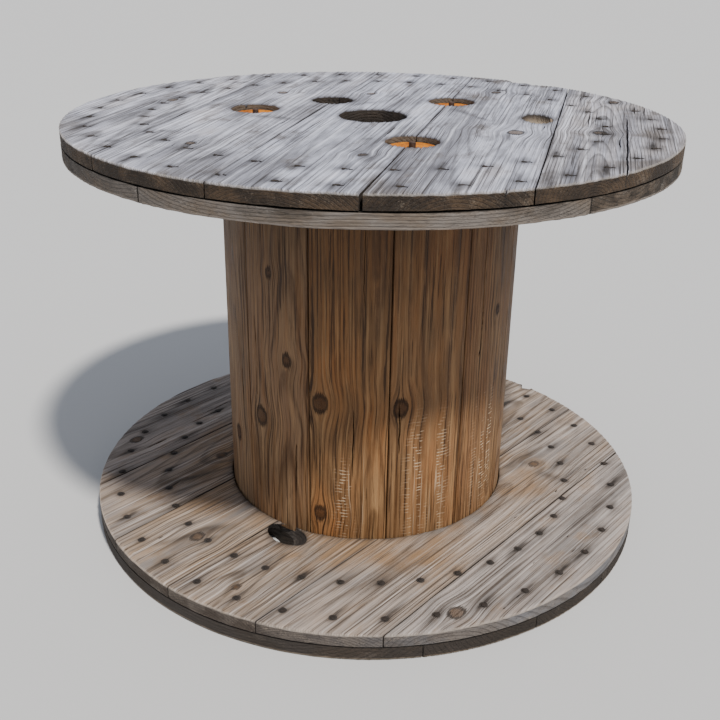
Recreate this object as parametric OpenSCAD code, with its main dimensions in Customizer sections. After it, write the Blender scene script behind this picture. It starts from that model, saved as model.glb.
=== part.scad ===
// Wooden cable drum, standing on the rim face of its bottom flange.
// Two flanges of crossed boards are nailed together in two rings, and twelve staves stand in a
// groove between them. Three long tie rods clamp the flanges onto the staves.
// Millimetres, +Z up, origin at the centre of the bottom face, on the drum's axis.

/* [Drum] */
// Outside diameter of both flanges
flange_d = 710; // [590:10:860]
// Height over both flanges
overall_h = 504; // [400:1:620]
// Diameter of the spindle hole through both flanges
spindle_d = 80; // [50:1:100]
// Diameter of the driver hole in each flange
driver_d = 52; // [30:1:60]
// Distance of the driver hole from the drum's axis
driver_r = 114; // [95:1:120]
// Direction of the driver hole
driver_turn = 117; // [100:1:130]

/* [Flange boards] */
// Thickness of each of the two board layers in a flange
board_t = 17; // [14:0.5:24]
// Width of the boards in both layers of the top flange
top_board_w = 142; // [115:1:175]
// Width of the boards in the bottom flange's inner layer
base_inner_board_w = 116; // [110:1:150]
// Width of the boards in the bottom flange's outer layer
base_outer_board_w = 118; // [110:1:150]
// Gap between two boards of one layer
board_gap = 1.2; // [0.4:0.1:3]
// Gap at the rim of the one seam that has opened in the top face
opened_gap = 3.5; // [2:0.5:9]
// Direction of the boards in the top face
top_outer_dir = 77; // [60:1:90]
// Direction of the boards under the top face
top_inner_dir = -1.5; // [-10:0.5:10]
// Direction of the boards on the bottom flange's inner face
base_inner_dir = 50; // [40:1:60]
// Direction of the boards on the bottom flange's outer face
base_outer_dir = -38; // [-50:1:-30]

/* [Barrel] */
// Outside diameter of the barrel
barrel_d = 360; // [300:2:440]
// Number of staves
stave_count = 12; // [10:1:15]
// Thickness of a stave at its middle
stave_t = 25; // [18:0.5:32]
// Open joint between two staves
stave_gap = 0.8; // [0.3:0.1:1.5]
// Direction of the first joint between two staves
stave_turn = -82; // [-96:1:-66]
// Depth of the ring groove that the stave ends stand in
groove_depth = 8; // [4:0.5:12]
// Clearance between the staves and each wall of the groove
groove_clear = 1; // [0.3:0.1:2]

/* [Cable holes] */
// Diameter of the drilled cable hole in each flange
cable_hole_d = 35; // [20:1:45]
// Lean of the cable holes along the winding direction, from upright
cable_hole_lean = 52; // [0:1:55]
// Land between the barrel and the hole's edge on the inner face
cable_hole_land = 1; // [0.5:0.5:10]
// Direction of the top flange's cable hole
top_cable_turn = 0; // [-15:1:15]
// Direction of the bottom flange's cable hole
base_cable_turn = -131; // [-140:1:-120]

/* [Tie rods] */
// Diameter of a tie rod
tie_d = 8; // [6:1:12]
// Number of tie rods
tie_count = 3; // [3:1:4]
// Direction of the first tie rod
tie_turn = 46.7; // [30:0.1:60]
// Space between a tie rod and the staves
tie_space = 5; // [2:0.5:12]
// Radial clearance of a tie rod in wood and in its washer
tie_clear = 0.5; // [0.3:0.1:1]
// Diameter of the round recess for a plate nut or washer
recess_d = 58; // [50:1:64]
// Depth of that recess
recess_depth = 10; // [9:0.5:12]
// Diameter of the plate nuts and washers
plate_d = 54; // [40:1:56]
// Thickness of the plate nuts and washers
plate_t = 3; // [2:0.5:4]
// Distance of a rod's top end below the top face
rod_end_inset = 1; // [0:0.5:4]
// Width across flats of a rod's head
head_flats = 13; // [10:1:19]
// Height of a rod's head
head_h = 5.3; // [4:0.1:6]

/* [Nails] */
// Nails in each ring
nail_count = 37; // [20:1:40]
// Diameter of a nail
nail_d = 3.4; // [2.8:0.1:4]
// Diameter of a nail's head
nail_head_d = 8; // [6:0.5:10]
// Height of a nail's head
nail_head_h = 1.2; // [0.8:0.1:1.6]
// Distance of the outer nail ring from the rim
nail_rim_space = 27; // [20:1:40]
// Distance between the two nail rings
nail_ring_space = 61; // [40:1:70]
// Length of the clinched end that lies in the outer face
clinch_l = 9; // [6:0.5:12]
// Thickness of the clinched end
clinch_t = 2.2; // [1.5:0.1:3]
// Depth of heads and clinched ends below the wood's face
nail_inset = 0.3; // [0:0.1:1]
// Clearance around a nail
nail_clear = 0.1; // [0.05:0.05:0.3]
// Direction of the first nail in each ring
nail_turn = -86; // [-90:0.5:-80]

/* [Hidden] */
$fn = 64;
cut = 1;
flange_r = flange_d / 2;
flange_t = 2 * board_t;
barrel_r = barrel_d / 2;
stave_step = 360 / stave_count;
stave_inner_r = barrel_r - stave_t;
stave_low = flange_t - groove_depth;
stave_l = overall_h - 2 * stave_low;
tie_r = stave_inner_r - tie_space - tie_d / 2;
tie_low = recess_depth - plate_t - head_h;
// The cable holes just miss the barrel where they reach the inner face
cable_run = flange_t * tan(cable_hole_lean);
cable_inner_r = barrel_r + cable_hole_land + cable_hole_d / 2;
cable_hole_r = sqrt(pow(cable_inner_r, 2) - pow(cable_run, 2));
// Direction of each flange's cable hole, and its lean going in from the outer face
top_cable = [top_cable_turn, -cable_hole_lean];
base_cable = [base_cable_turn, cable_hole_lean];
nail_rings = [flange_r - nail_rim_space, flange_r - nail_rim_space - nail_ring_space];
nail_step = 360 / nail_count;
nail_head_gap = 1.5;
clinch_w = 3;
clinch_tip_w = 1.2;
clinch_reach = clinch_l + nail_d;
// No board is narrower than this at the rim
least_board_w = 40;
// Outline of the splinter broken out of the top face's rim, outward and along the rim
top_chip_turn = 50;
top_chip_depth = 9;
top_chip = [[6, -44], [-3, -40], [-6, -22], [-13, -8], [-9, 6], [-15, 24], [-4, 39], [6, 43]];
// Outline of the small notch in the bottom flange's inner face
base_chip_turn = 44;
base_chip_depth = 7;
base_chip = [[6, -10], [-5, -8], [-9, 2], [-4, 9], [6, 11]];
// Each layer: direction of its boards, their width, and the place of one seam
TOP_OUTER = [top_outer_dir, top_board_w, top_board_w / 2];
TOP_INNER = [top_inner_dir, top_board_w, -3];
BASE_INNER = [base_inner_dir, base_inner_board_w, -12];
BASE_OUTER = [base_outer_dir, base_outer_board_w, 0];
function numbered(name, count) = [for (i = [1:count]) str(name, i)];

// Seams of a layer, across its boards, from one rim to the other
function seams(layer) = [
    for (k = [-12:12])
        let (at = layer[2] + k * layer[1])
        if (abs(at) < flange_r - least_board_w) at
];
function board_count(layer) = len(seams(layer)) + 1;
function board_low(layer, i) = i == 1 ? -flange_r - cut : seams(layer)[i - 2] + board_gap / 2;
function board_high(layer, i) = i == board_count(layer) ? flange_r + cut : seams(layer)[i - 1] - board_gap / 2;
function across(layer, p) = p[1] * cos(layer[0]) - p[0] * sin(layer[0]);
function on_circle(r, turn) = [r * cos(turn), r * sin(turn)];
function tie_at(i) = on_circle(tie_r, tie_turn + (i - 1) * 360 / tie_count);
// A nail is left out where it would come near a flange's cable hole
function clear_of_cable(p, cable) =
    let (q = [p[0] * cos(cable[0]) + p[1] * sin(cable[0]), p[1] * cos(cable[0]) - p[0] * sin(cable[0])])
    abs(q[0] - cable_hole_r) > cable_hole_d / 2 + clinch_reach
    || abs(q[1] - sign(cable[1]) * cable_run / 2) > cable_run / 2 + cable_hole_d + clinch_reach;
function nails(r, cable) = [
    for (k = [0:nail_count - 1])
        let (p = on_circle(r, nail_turn + k * nail_step))
        if (clear_of_cable(p, cable)) p
];

// Everything in a flange is drawn by its depth from the outer face
module in_top_flange() {
    translate([0, 0, overall_h]) mirror([0, 0, 1]) children();
}

module hole(p, d, depth) {
    translate([p[0], p[1], -cut]) cylinder(d = d, h = depth + cut);
}

// Slot for a clinched nail end, across the grain of the layer that it lies in
module clinch_slot(p, layer) {
    slot_w = clinch_w + 2 * nail_clear;
    translate([p[0], p[1], -cut])
        rotate([0, 0, layer[0] - 90])
            translate([0, -slot_w / 2, 0])
                cube([clinch_l + nail_clear, slot_w, cut + nail_inset + clinch_t]);
}

module nail_cuts(points, layer, low, high) {
    for (p = points)
        if (across(layer, p) > low - clinch_reach && across(layer, p) < high + clinch_reach)
            hole(p, nail_d + 2 * nail_clear, flange_t + cut);
}

module rod_and_spindle_holes() {
    hole([0, 0], spindle_d, flange_t + cut);
    hole(on_circle(driver_r, driver_turn), driver_d, flange_t + cut);
    for (i = [1:tie_count])
        hole(tie_at(i), tie_d + 2 * tie_clear, flange_t + cut);
}

module cable_bore(cable) {
    rotate([0, 0, cable[0]])
        translate([cable_hole_r, 0, 0])
            rotate([-cable[1], 0, 0])
                cylinder(d = cable_hole_d, h = 6 * flange_t, center = true);
}

// One board of a layer before it is drilled, from one depth to another
module board_blank(layer, i, depth) {
    low = board_low(layer, i);
    intersection() {
        translate([0, 0, depth]) cylinder(r = flange_r, h = board_t, $fn = 180);
        rotate([0, 0, layer[0]])
            translate([-flange_r - cut, low, depth - cut])
                cube([2 * (flange_r + cut), board_high(layer, i) - low, board_t + 2 * cut]);
    }
}

module outer_board(layer, i, cable) {
    low = board_low(layer, i);
    high = board_high(layer, i);
    difference() {
        board_blank(layer, i, 0);
        rod_and_spindle_holes();
        cable_bore(cable);
        for (k = [1:tie_count])
            hole(tie_at(k), recess_d, recess_depth);
        for (r = nail_rings) {
            nail_cuts(nails(r, cable), layer, low, high);
            for (p = nails(r, cable))
                if (across(layer, p) > low - clinch_reach && across(layer, p) < high + clinch_reach)
                    clinch_slot(p, layer);
        }
    }
}

module inner_board(layer, i, cable) {
    low = board_low(layer, i);
    high = board_high(layer, i);
    difference() {
        board_blank(layer, i, board_t);
        rod_and_spindle_holes();
        cable_bore(cable);
        translate([0, 0, stave_low]) groove();
        for (r = nail_rings) {
            nail_cuts(nails(r, cable), layer, low, high);
            for (p = nails(r, cable))
                if (across(layer, p) > low - nail_head_d && across(layer, p) < high + nail_head_d)
                    translate([p[0], p[1], flange_t - nail_inset - nail_head_h])
                        cylinder(d = nail_head_d + nail_head_gap, h = board_t);
        }
    }
}

// Ring groove for the stave ends
module groove() {
    difference() {
        cylinder(r = barrel_r + groove_clear, h = groove_depth + cut, $fn = 180);
        translate([0, 0, -cut])
            cylinder(r = stave_inner_r - groove_clear, h = groove_depth + 3 * cut, $fn = 180);
    }
}

module chip(outline, turn, low, high) {
    rotate([0, 0, turn])
        translate([flange_r, 0, low])
            linear_extrude(high - low) polygon(outline);
}

// The seam beside the middle board of the top face has opened towards the rim
module opened_seam() {
    kink = tie_r;
    rotate([0, 0, top_outer_dir])
        translate([0, seams(TOP_OUTER)[1], -cut])
            linear_extrude(board_t + 2 * cut)
                polygon([[-flange_r, -opened_gap / 2], [-kink, 0], [-flange_r, opened_gap / 2]]);
}

module top_outer_board(i) {
    color("#a9adb8")
        in_top_flange()
            difference() {
                outer_board(TOP_OUTER, i, top_cable);
                opened_seam();
                chip(top_chip, top_chip_turn, -cut, top_chip_depth);
            }
}

module top_inner_board(i) {
    color("#8a7f74") in_top_flange() inner_board(TOP_INNER, i, top_cable);
}

module bottom_inner_board(i) {
    color("#a8a29b")
        difference() {
            inner_board(BASE_INNER, i, base_cable);
            chip(base_chip, base_chip_turn, flange_t - base_chip_depth, flange_t + cut);
        }
}

module bottom_outer_board(i) {
    color("#5d4c3e") outer_board(BASE_OUTER, i, base_cable);
}

// A plank with a flat inner face, bevelled edges and a rounded outer face
module stave(i) {
    half_w = barrel_r * tan(stave_step / 2);
    color("#b07a4a")
        rotate([0, 0, stave_turn + (i - 0.5) * stave_step])
            translate([0, 0, stave_low])
                intersection() {
                    cylinder(r = barrel_r, h = stave_l, $fn = 180);
                    translate([stave_inner_r, -barrel_r, -cut])
                        cube([2 * stave_t, 2 * barrel_r, stave_l + 2 * cut]);
                    translate([stave_gap / 2 / sin(stave_step / 2), 0, -cut])
                        linear_extrude(stave_l + 2 * cut)
                            polygon([[0, 0], [barrel_r, half_w], [barrel_r, -half_w]]);
                }
}

module tie_rod(i) {
    color("#3b2f28")
        translate([tie_at(i)[0], tie_at(i)[1], 0]) {
            translate([0, 0, tie_low])
                cylinder(d = head_flats / cos(30), h = head_h, $fn = 6);
            translate([0, 0, tie_low + cut])
                cylinder(d = tie_d, h = overall_h - rod_end_inset - tie_low - cut);
        }
}

// Round plate with a bore, lying on the floor of its recess
module plate(i, bore_d) {
    translate([tie_at(i)[0], tie_at(i)[1], recess_depth - plate_t])
        difference() {
            cylinder(d = plate_d, h = plate_t);
            translate([0, 0, -cut]) cylinder(d = bore_d, h = plate_t + 2 * cut);
        }
}

module plate_nut(i) {
    color("#d97a1c") in_top_flange() plate(i, tie_d + 2 * nail_clear);
}

module washer(i) {
    color("#b5651d") plate(i, tie_d + 2 * tie_clear);
}

// A nail driven from the inner face, its end clinched across the grain of the outer face
module nail(p, layer) {
    translate([p[0], p[1], 0]) {
        translate([0, 0, flange_t - nail_inset - nail_head_h])
            cylinder(d = nail_head_d, h = nail_head_h);
        translate([0, 0, nail_inset])
            cylinder(d = nail_d, h = flange_t - 2 * nail_inset - nail_head_h / 2);
        translate([0, 0, nail_inset])
            rotate([0, 0, layer[0] - 90])
                linear_extrude(clinch_t)
                    polygon([
                        [0, -clinch_w / 2],
                        [clinch_l, -clinch_tip_w / 2],
                        [clinch_l, clinch_tip_w / 2],
                        [0, clinch_w / 2]
                    ]);
    }
}

module nail_ring(r, layer, cable) {
    color("#4a4038")
        for (p = nails(r, cable))
            nail(p, layer);
}

for (i = [1:board_count(TOP_OUTER)])
    top_outer_board(i);
for (i = [1:board_count(TOP_INNER)])
    top_inner_board(i);
for (i = [1:board_count(BASE_INNER)])
    bottom_inner_board(i);
for (i = [1:board_count(BASE_OUTER)])
    bottom_outer_board(i);
for (i = [1:stave_count])
    stave(i);
for (i = [1:tie_count]) {
    tie_rod(i);
    plate_nut(i);
    washer(i);
}
in_top_flange() nail_ring(nail_rings[0], TOP_OUTER, top_cable);  // top_nails_outer_ring
in_top_flange() nail_ring(nail_rings[1], TOP_OUTER, top_cable);  // top_nails_inner_ring
nail_ring(nail_rings[0], BASE_OUTER, base_cable);  // bottom_nails_outer_ring
nail_ring(nail_rings[1], BASE_OUTER, base_cable);  // bottom_nails_inner_ring
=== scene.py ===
# Worn wooden cable drum. Lengths are millimetres until a mesh is made.
import math

import bpy
import numpy as np
from mathutils import Matrix, Vector
from mathutils.geometry import delaunay_2d_cdt


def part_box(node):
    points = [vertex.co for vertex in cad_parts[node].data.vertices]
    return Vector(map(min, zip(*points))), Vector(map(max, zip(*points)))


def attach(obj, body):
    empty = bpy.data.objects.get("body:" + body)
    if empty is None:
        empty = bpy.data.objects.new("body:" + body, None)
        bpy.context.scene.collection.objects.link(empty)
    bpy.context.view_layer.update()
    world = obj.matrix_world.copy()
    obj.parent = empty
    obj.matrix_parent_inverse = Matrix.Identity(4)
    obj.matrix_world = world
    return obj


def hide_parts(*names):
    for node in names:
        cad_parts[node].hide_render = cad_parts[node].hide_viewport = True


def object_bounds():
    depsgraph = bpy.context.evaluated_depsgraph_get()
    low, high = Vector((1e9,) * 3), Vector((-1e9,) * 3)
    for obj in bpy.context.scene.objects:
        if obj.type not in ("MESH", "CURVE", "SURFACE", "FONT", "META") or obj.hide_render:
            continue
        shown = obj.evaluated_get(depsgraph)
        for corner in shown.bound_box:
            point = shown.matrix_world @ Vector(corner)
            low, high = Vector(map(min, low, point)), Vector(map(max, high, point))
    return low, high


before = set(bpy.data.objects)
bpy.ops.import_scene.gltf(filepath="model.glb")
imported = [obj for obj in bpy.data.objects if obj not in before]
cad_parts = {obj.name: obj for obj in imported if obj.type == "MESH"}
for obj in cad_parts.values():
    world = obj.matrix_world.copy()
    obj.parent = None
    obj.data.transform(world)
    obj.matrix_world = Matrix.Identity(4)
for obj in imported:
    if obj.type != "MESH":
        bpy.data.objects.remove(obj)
cadBox = [list(corner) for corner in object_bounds()]
mm = 0.001
drum = {"radius": 355.0, "height": cadBox[1][2] / mm, "board": 17.0, "barrel": 180.0, "spindle": 40.0}
nailRings = {"count": 37, "firstDeg": -86.0, "radii": (328.0, 267.0)}
print("frame loaded:", len(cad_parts), "nodes")


# Smooth noise, -1 to 1
def lattice(i, j, k, seed):
    return np.mod(np.sin(i * 127.1 + j * 311.7 + k * 74.7 + seed * 19.19) * 43758.5453, 1.0)


def softNoise(x, y, z, seed):
    x, y, z = np.broadcast_arrays(np.asarray(x, float), y, z)
    low = [np.floor(a) for a in (x, y, z)]
    ease = [(a - b) ** 2 * (3 - 2 * (a - b)) for a, b in zip((x, y, z), low)]
    total = np.zeros_like(x)
    for corner in range(8):
        step = [(corner >> bit) & 1 for bit in range(3)]
        weight = np.ones_like(x)
        for e, s in zip(ease, step):
            weight = weight * (e if s else 1 - e)
        total += weight * lattice(*(b + s for b, s in zip(low, step)), seed)
    return total * 2 - 1


def smooth(low, high, x):
    t = np.clip((x - low) / (high - low), 0, 1)
    return t * t * (3 - 2 * t)


# Wood: rings, knots and cracks in a board's own frame (u along, v across, w out of its face)
def grainOf(wood, u, v, w):
    seed = wood["seed"]
    pushed = v.copy()
    for ku, kv, kr in wood["knots"]:
        near = np.exp(-(((u - ku) / (2.9 * kr)) ** 2))
        pushed -= 0.95 * kr * np.tanh((v - kv) / kr) * near * np.exp(-np.abs(v - kv) / (5 * kr))
    bend = wood["bend"] * softNoise(u / 330, 0.5, 0.5, seed) + 1.3 * softNoise(u / 110, v / 60, 0.5, seed + 1)
    depth = wood["pith"][1] + wood["rise"] * u + 5 * softNoise(u / 210, v / 160, 0.5, seed + 2)
    ring = np.hypot(pushed - wood["pith"][0] - bend, w - depth) / wood["spacing"]
    knot = np.zeros_like(u)
    for n, (ku, kv, kr) in enumerate(wood["knots"]):
        away = np.hypot((u - ku) / 1.2, v - kv) * (1 + 0.12 * softNoise(u / kr, v / kr, n, seed + 3))
        inside = smooth(kr * 1.12, kr * 0.9, away)
        ring = ring * (1 - inside) + inside * (away / 1.7 + 20)
        knot = np.maximum(knot, smooth(kr * 1.25, kr * 0.75, away))
    return pushed, ring, knot


def ridge(ring):
    part = ring - np.floor(ring)
    return np.exp(-(((part - 0.74) / 0.2) ** 2))


def crackLines(wood, low, high):
    rng = np.random.default_rng(wood["seed"] * 7 + 5)
    lines = list(wood["cracks"])
    for _ in range(wood["checks"]):
        start = rng.uniform(low[0], high[0])
        long = rng.uniform(25, 110)
        lines.append((start, start + long, rng.uniform(low[1] + 8, high[1] - 8), rng.uniform(0.5, 1.0)))
    rows = []
    for n, (a, b, v, wide) in enumerate(lines):
        u = np.linspace(a, b, max(6, int((b - a) / 3.5)))
        t = (u - a) / (b - a) * 2 - 1
        drift = 2.4 * softNoise(u / 60, n, 0.5, wood["seed"] + 9)
        drift += 0.7 * softNoise(u / 11, n, 0.5, wood["seed"] + 10)
        rows.append((u, v + drift, wide * (1 - t ** 4)))
    return rows


def crackCuts(lines, u, v, depths):
    # how near each point is to the middle of a crack, and how deep it lies in it
    least, growth, most = depths
    crack, depth = np.zeros(len(u)), np.zeros(len(u))
    for cu, cv, half in lines:
        opening = np.interp(u, cu, half) + 1e-3
        near = np.clip(1 - np.abs(v - np.interp(u, cu, cv)) / opening, 0, 1) * ((u > cu[0]) & (u < cu[-1]))
        crack = np.maximum(crack, near)
        depth = np.maximum(depth, near * np.clip(least + growth * opening, least, most))
    return crack, depth


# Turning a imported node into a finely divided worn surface
def readNode(name):
    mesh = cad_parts[name].data
    flat = np.empty(len(mesh.vertices) * 3, np.float32)
    mesh.vertices.foreach_get("co", flat)
    corners = np.empty(len(mesh.loops), np.int32)
    mesh.loops.foreach_get("vertex_index", corners)
    rounded = np.round(flat.reshape(-1, 3).astype(float) / mm, 3)
    points, place = np.unique(rounded, axis=0, return_inverse=True)
    triangles = place.reshape(-1)[corners].reshape(-1, 3)
    a, b, c = triangles.T
    return points, triangles[(a != b) & (b != c) & (a != c)]


meshing = {"farEdge": 12, "batch": 700, "borderStep": 3.0, "edgeGap": 2.2, "crackApart": 5, "crackInset": 1.5,
           "sliverArea": 2e-3, "sharpDeg": 42, "rodSharpDeg": 40, "discSharpDeg": 50}


def edgeMeasures(spots, starts, ends, kinds, kindCount):
    # whether each spot is inside the outline, and its distance to each kind of edge that isn't far
    far, size = meshing["farEdge"], meshing["batch"]
    inside = np.zeros(len(spots), bool)
    away = np.full((len(spots), kindCount), 1e6)
    lowX, highX = np.minimum(starts[:, 0], ends[:, 0]), np.maximum(starts[:, 0], ends[:, 0])
    order = np.argsort(spots[:, 0], kind="stable")
    for first in range(0, len(spots), size):
        batch = order[first:first + size]
        part = spots[batch]
        near = (highX > part[0, 0] - far) & (lowX < part[-1, 0] + far)
        if not near.any():
            continue
        start, end, kindHere = starts[near], ends[near], kinds[near]
        run = end - start
        dx = part[:, None, 0] - start[None, :, 0]
        dy = part[:, None, 1] - start[None, :, 1]
        t = np.clip((dx * run[:, 0] + dy * run[:, 1]) / np.maximum((run ** 2).sum(1), 1e-12), 0, 1)
        gap = np.hypot(dx - t * run[:, 0], dy - t * run[:, 1])
        for kind in range(kindCount):
            if (kindHere == kind).any():
                away[batch, kind] = gap[:, kindHere == kind].min(1)
        crossing = (dx < 0) != (part[:, None, 0] < end[None, :, 0])
        safe = np.where(np.abs(run[:, 0]) < 1e-12, 1e-12, run[:, 0])
        above = dy < dx / safe * run[:, 1]
        inside[batch] = (crossing & above).sum(1) % 2 == 1
    return inside, away


def splitBorders(points, triangles, labels, roundRadius):
    # divides every edge between two groups, and gives the new points in each such edge
    sides = np.concatenate([triangles[:, [0, 1]], triangles[:, [1, 2]], triangles[:, [2, 0]]])
    sides.sort(axis=1)
    edges, place = np.unique(sides, axis=0, return_inverse=True)
    place = place.reshape(-1)
    lowest = np.full(len(edges), 99)
    highest = np.full(len(edges), -1)
    np.minimum.at(lowest, place, np.tile(labels, 3))
    np.maximum.at(highest, place, np.tile(labels, 3))
    chains, extra = {}, []
    total = len(points)
    for a, b in edges[lowest != highest]:
        gap = points[b] - points[a]
        cuts = max(1, math.ceil(np.linalg.norm(gap) / meshing["borderStep"]))
        made = []
        for n in range(1, cuts):
            spot = points[a] + gap * n / cuts
            reach = math.hypot(spot[0], spot[1])
            if roundRadius - 1.2 < reach < roundRadius:
                spot[:2] *= roundRadius / reach
            extra.append(spot)
            made.append(total)
            total += 1
        chains[(a, b)] = made
        chains[(b, a)] = made[::-1]
    if extra:
        points = np.vstack([points, np.array(extra)])
    return points, chains


def growPatch(points, triangles, chains, patch):
    # retriangulates one smooth face of the node on its own grid
    loops = {}
    for a, b, c in triangles:
        for p, q in ((a, b), (b, c), (c, a)):
            if (p, q) in chains:
                loops[(p, q)] = chains[(p, q)]
    border = []
    for (p, q), made in loops.items():
        chain = [p, *made, q]
        border += list(zip(chain[:-1], chain[1:]))
    border = np.array(border)
    used, local = np.unique(border, return_inverse=True)
    local = local.reshape(-1, 2)
    flat = patch["flatten"](points[used])
    starts, ends = flat[local[:, 0]], flat[local[:, 1]]
    kinds = patch["kinds"](points[border].mean(1))
    kindCount = len(patch["rounding"])
    low, high = flat.min(0), flat.max(0)
    wideU, wideV = patch["grid"]
    gridU, gridV = np.meshgrid(np.arange(low[0], high[0], wideU), np.arange(low[1], high[1], wideV))
    gridU = gridU + (np.arange(gridU.shape[0]) % 2)[:, None] * wideU / 2
    spots = np.column_stack([gridU.ravel(), gridV.ravel()])
    inside, away = edgeMeasures(spots, starts, ends, kinds, kindCount)
    keep = inside & (away.min(1) > min(meshing["edgeGap"], wideV * 0.8))
    spots = spots[keep]
    # rows of points that follow the borders, for their rounding
    run = ends - starts
    unit = run / np.maximum(np.linalg.norm(run, axis=1), 1e-9)[:, None]
    inward = np.column_stack([-unit[:, 1], unit[:, 0]])
    rows = []
    for distance in patch["rows"]:
        rows.append((starts + ends) / 2 + inward * distance)
        rows.append((starts + ends) / 2 - inward * distance)
    if rows:
        near = np.vstack(rows)
        inside, away = edgeMeasures(near, starts, ends, kinds, kindCount)
        closest = away.min(1)
        tall = away[:, :3].min(1)
        near = near[inside & (closest > min(patch["rows"]) * 0.9) & (tall < max(patch["rows"]) * 1.02)]
        spots = np.vstack([spots, near])
    pairs = local.tolist()
    cracks = []
    for u, v, wide in patch["cracks"]:
        centre = np.column_stack([u, v])
        inside, away = edgeMeasures(centre, starts, ends, kinds, kindCount)
        fine = inside & (away.min(1) > meshing["crackInset"] + wide)
        for other, _ in cracks:
            fine &= np.abs(centre[:, None] - other[None]).max(2).min(1) > meshing["crackApart"]
        if fine.sum() < 4:
            continue
        centre, wide = centre[fine], wide[fine]
        for (cu, cv), half in zip(centre, wide):
            spots = spots[(np.abs(spots[:, 0] - cu) > 3) | (np.abs(spots[:, 1] - cv) > half + 0.25)]
        cracks.append((centre, wide))
    for centre, wide in cracks:
        base = len(used) + len(spots)
        lips = [centre + [0, 1] * wide[:, None], centre - [0, 1] * wide[:, None]]
        spots = np.vstack([spots, centre, *lips])
        together = np.linalg.norm(np.diff(centre, axis=0), axis=1) < 8
        pairs += [(base + n, base + n + 1) for n in np.nonzero(together)[0]]
    scale = np.array([wideU, wideV])
    everything = np.vstack([flat, spots]) / scale
    out = delaunay_2d_cdt(everything.tolist(), pairs, [], 0, 1e-7)
    made = np.array([list(p) for p in out[0]]) * scale
    corners = np.array(out[2])
    middles = made[corners].mean(1)
    inside, _ = edgeMeasures(middles, starts, ends, kinds, kindCount)
    one, two = made[corners[:, 1]] - made[corners[:, 0]], made[corners[:, 2]] - made[corners[:, 0]]
    area = one[:, 0] * two[:, 1] - one[:, 1] * two[:, 0]
    corners[area < 0] = corners[area < 0][:, ::-1]
    # slivers between border points in one line lie outside the outline
    bordering = np.array([any(source < len(used) for source in sources) for sources in out[3]])
    sliver = bordering[corners].all(1) & (np.abs(area) < meshing["sliverArea"])
    corners = corners[inside & ~sliver]
    if patch["flip"]:
        corners = corners[:, ::-1]
    _, away = edgeMeasures(made, starts, ends, kinds, kindCount)
    # borders keep their own points, the rest are new
    number = np.full(len(made), -1)
    for n, sources in enumerate(out[3]):
        for source in sources:
            if source < len(used):
                number[n] = used[source]
                break
    fresh = number < 0
    number[fresh] = len(points) + np.arange(fresh.sum())
    points = np.vstack([points, patch["lift"](made[fresh])])
    return points, number[corners], number, away


def roundDrop(distance, radius):
    inner = np.clip(radius - distance, 0, None)
    return np.where(distance < radius, radius - np.sqrt(np.maximum(radius ** 2 - inner ** 2, 0)), 0.0)


def reachOf(points):
    return np.hypot(points[:, 0], points[:, 1])


def wearScale(points, seed):
    broad = softNoise(*(points.T / 40), seed)
    fine = softNoise(*(points.T / 9), seed + 1)
    return np.clip(1 + 0.4 * broad + 0.22 * fine, 0.4, 1.8)


def addObject(name, data):
    made = bpy.data.objects.new(name, data)
    bpy.context.scene.collection.objects.link(made)
    return made


def standIn(piece, node):
    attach(piece, "root")
    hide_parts(node)


def buildPiece(name, points, faces, marks, wallMarks, wallCount):
    # the first wallCount faces take their marks from wallMarks where it has them
    mesh = bpy.data.meshes.new(name)
    used = np.unique(np.concatenate([np.asarray(f) for f in faces]))
    renumber = np.full(len(points), -1)
    renumber[used] = np.arange(len(used))
    mesh.from_pydata((points[used] * mm).tolist(), [], [renumber[list(f)].tolist() for f in faces])
    mesh.polygons.foreach_set("use_smooth", [True] * len(mesh.polygons))
    corners = np.empty(len(mesh.loops), np.int32)
    mesh.loops.foreach_get("vertex_index", corners)
    onWall = np.zeros(len(corners), bool)
    onWall[:sum(len(f) for f in faces[:wallCount])] = True
    for key, values in marks.items():
        values = np.asarray(values, np.float32)[used][corners]
        if key in wallMarks:
            values[onWall] = np.asarray(wallMarks[key], np.float32)[used][corners][onWall]
        kind, slot = ("FLOAT", "value") if values.ndim == 1 else ("FLOAT_VECTOR", "vector")
        mesh.attributes.new(key, kind, "CORNER").data.foreach_set(slot, values.ravel())
    mesh.set_sharp_from_angle(angle=math.radians(meshing["sharpDeg"]))
    return addObject(name, mesh)


# The flanges' boards. Rounding is for the rim, seams, holes and nail holes, dirt for the rim and
# the barrel's foot, and halo is the stain round each nail.
layers = {
    "top_outer_board_": {
        "piece": "topBoard", "slot": "silvered_wood", "wood": "silveredWood", "direction": 77.0, "outward": 1,
        "grid": (6.0, 1.15), "rounding": (1.7, 1.0, 1.0, 0.3), "relief": 0.6, "checks": 6,
        "dirt": (0.85, 0.0), "halo": 0.95,
    },
    "top_inner_board_": {
        "piece": "topUnderBoard", "slot": "rim_wood", "wood": "rimWood", "direction": -1.5, "outward": -1,
        "grid": (9.0, 2.2), "rounding": (1.8, 1.0, 0.9, 0.3), "relief": 0.35, "checks": 2, "dirt": (0.4, 0.3),
        "halo": 0.0,
    },
    "bottom_inner_board_": {
        "piece": "baseBoard", "slot": "worn_wood", "wood": "wornWood", "direction": 50.0, "outward": 1,
        "grid": (6.5, 1.3), "rounding": (2.0, 0.8, 1.0, 0.3), "relief": 0.55, "checks": 6,
        "dirt": (0.15, 1.0), "halo": 0.4,
    },
    "bottom_outer_board_": {
        "piece": "baseUnderBoard", "slot": "dark_wood", "wood": "darkWood", "direction": -38.0, "outward": -1,
        "grid": (10.0, 2.6), "rounding": (1.6, 1.0, 0.9, 0.3), "relief": 0.3, "checks": 1, "dirt": (0.5, 0.3),
        "halo": 0.0,
    },
}
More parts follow.
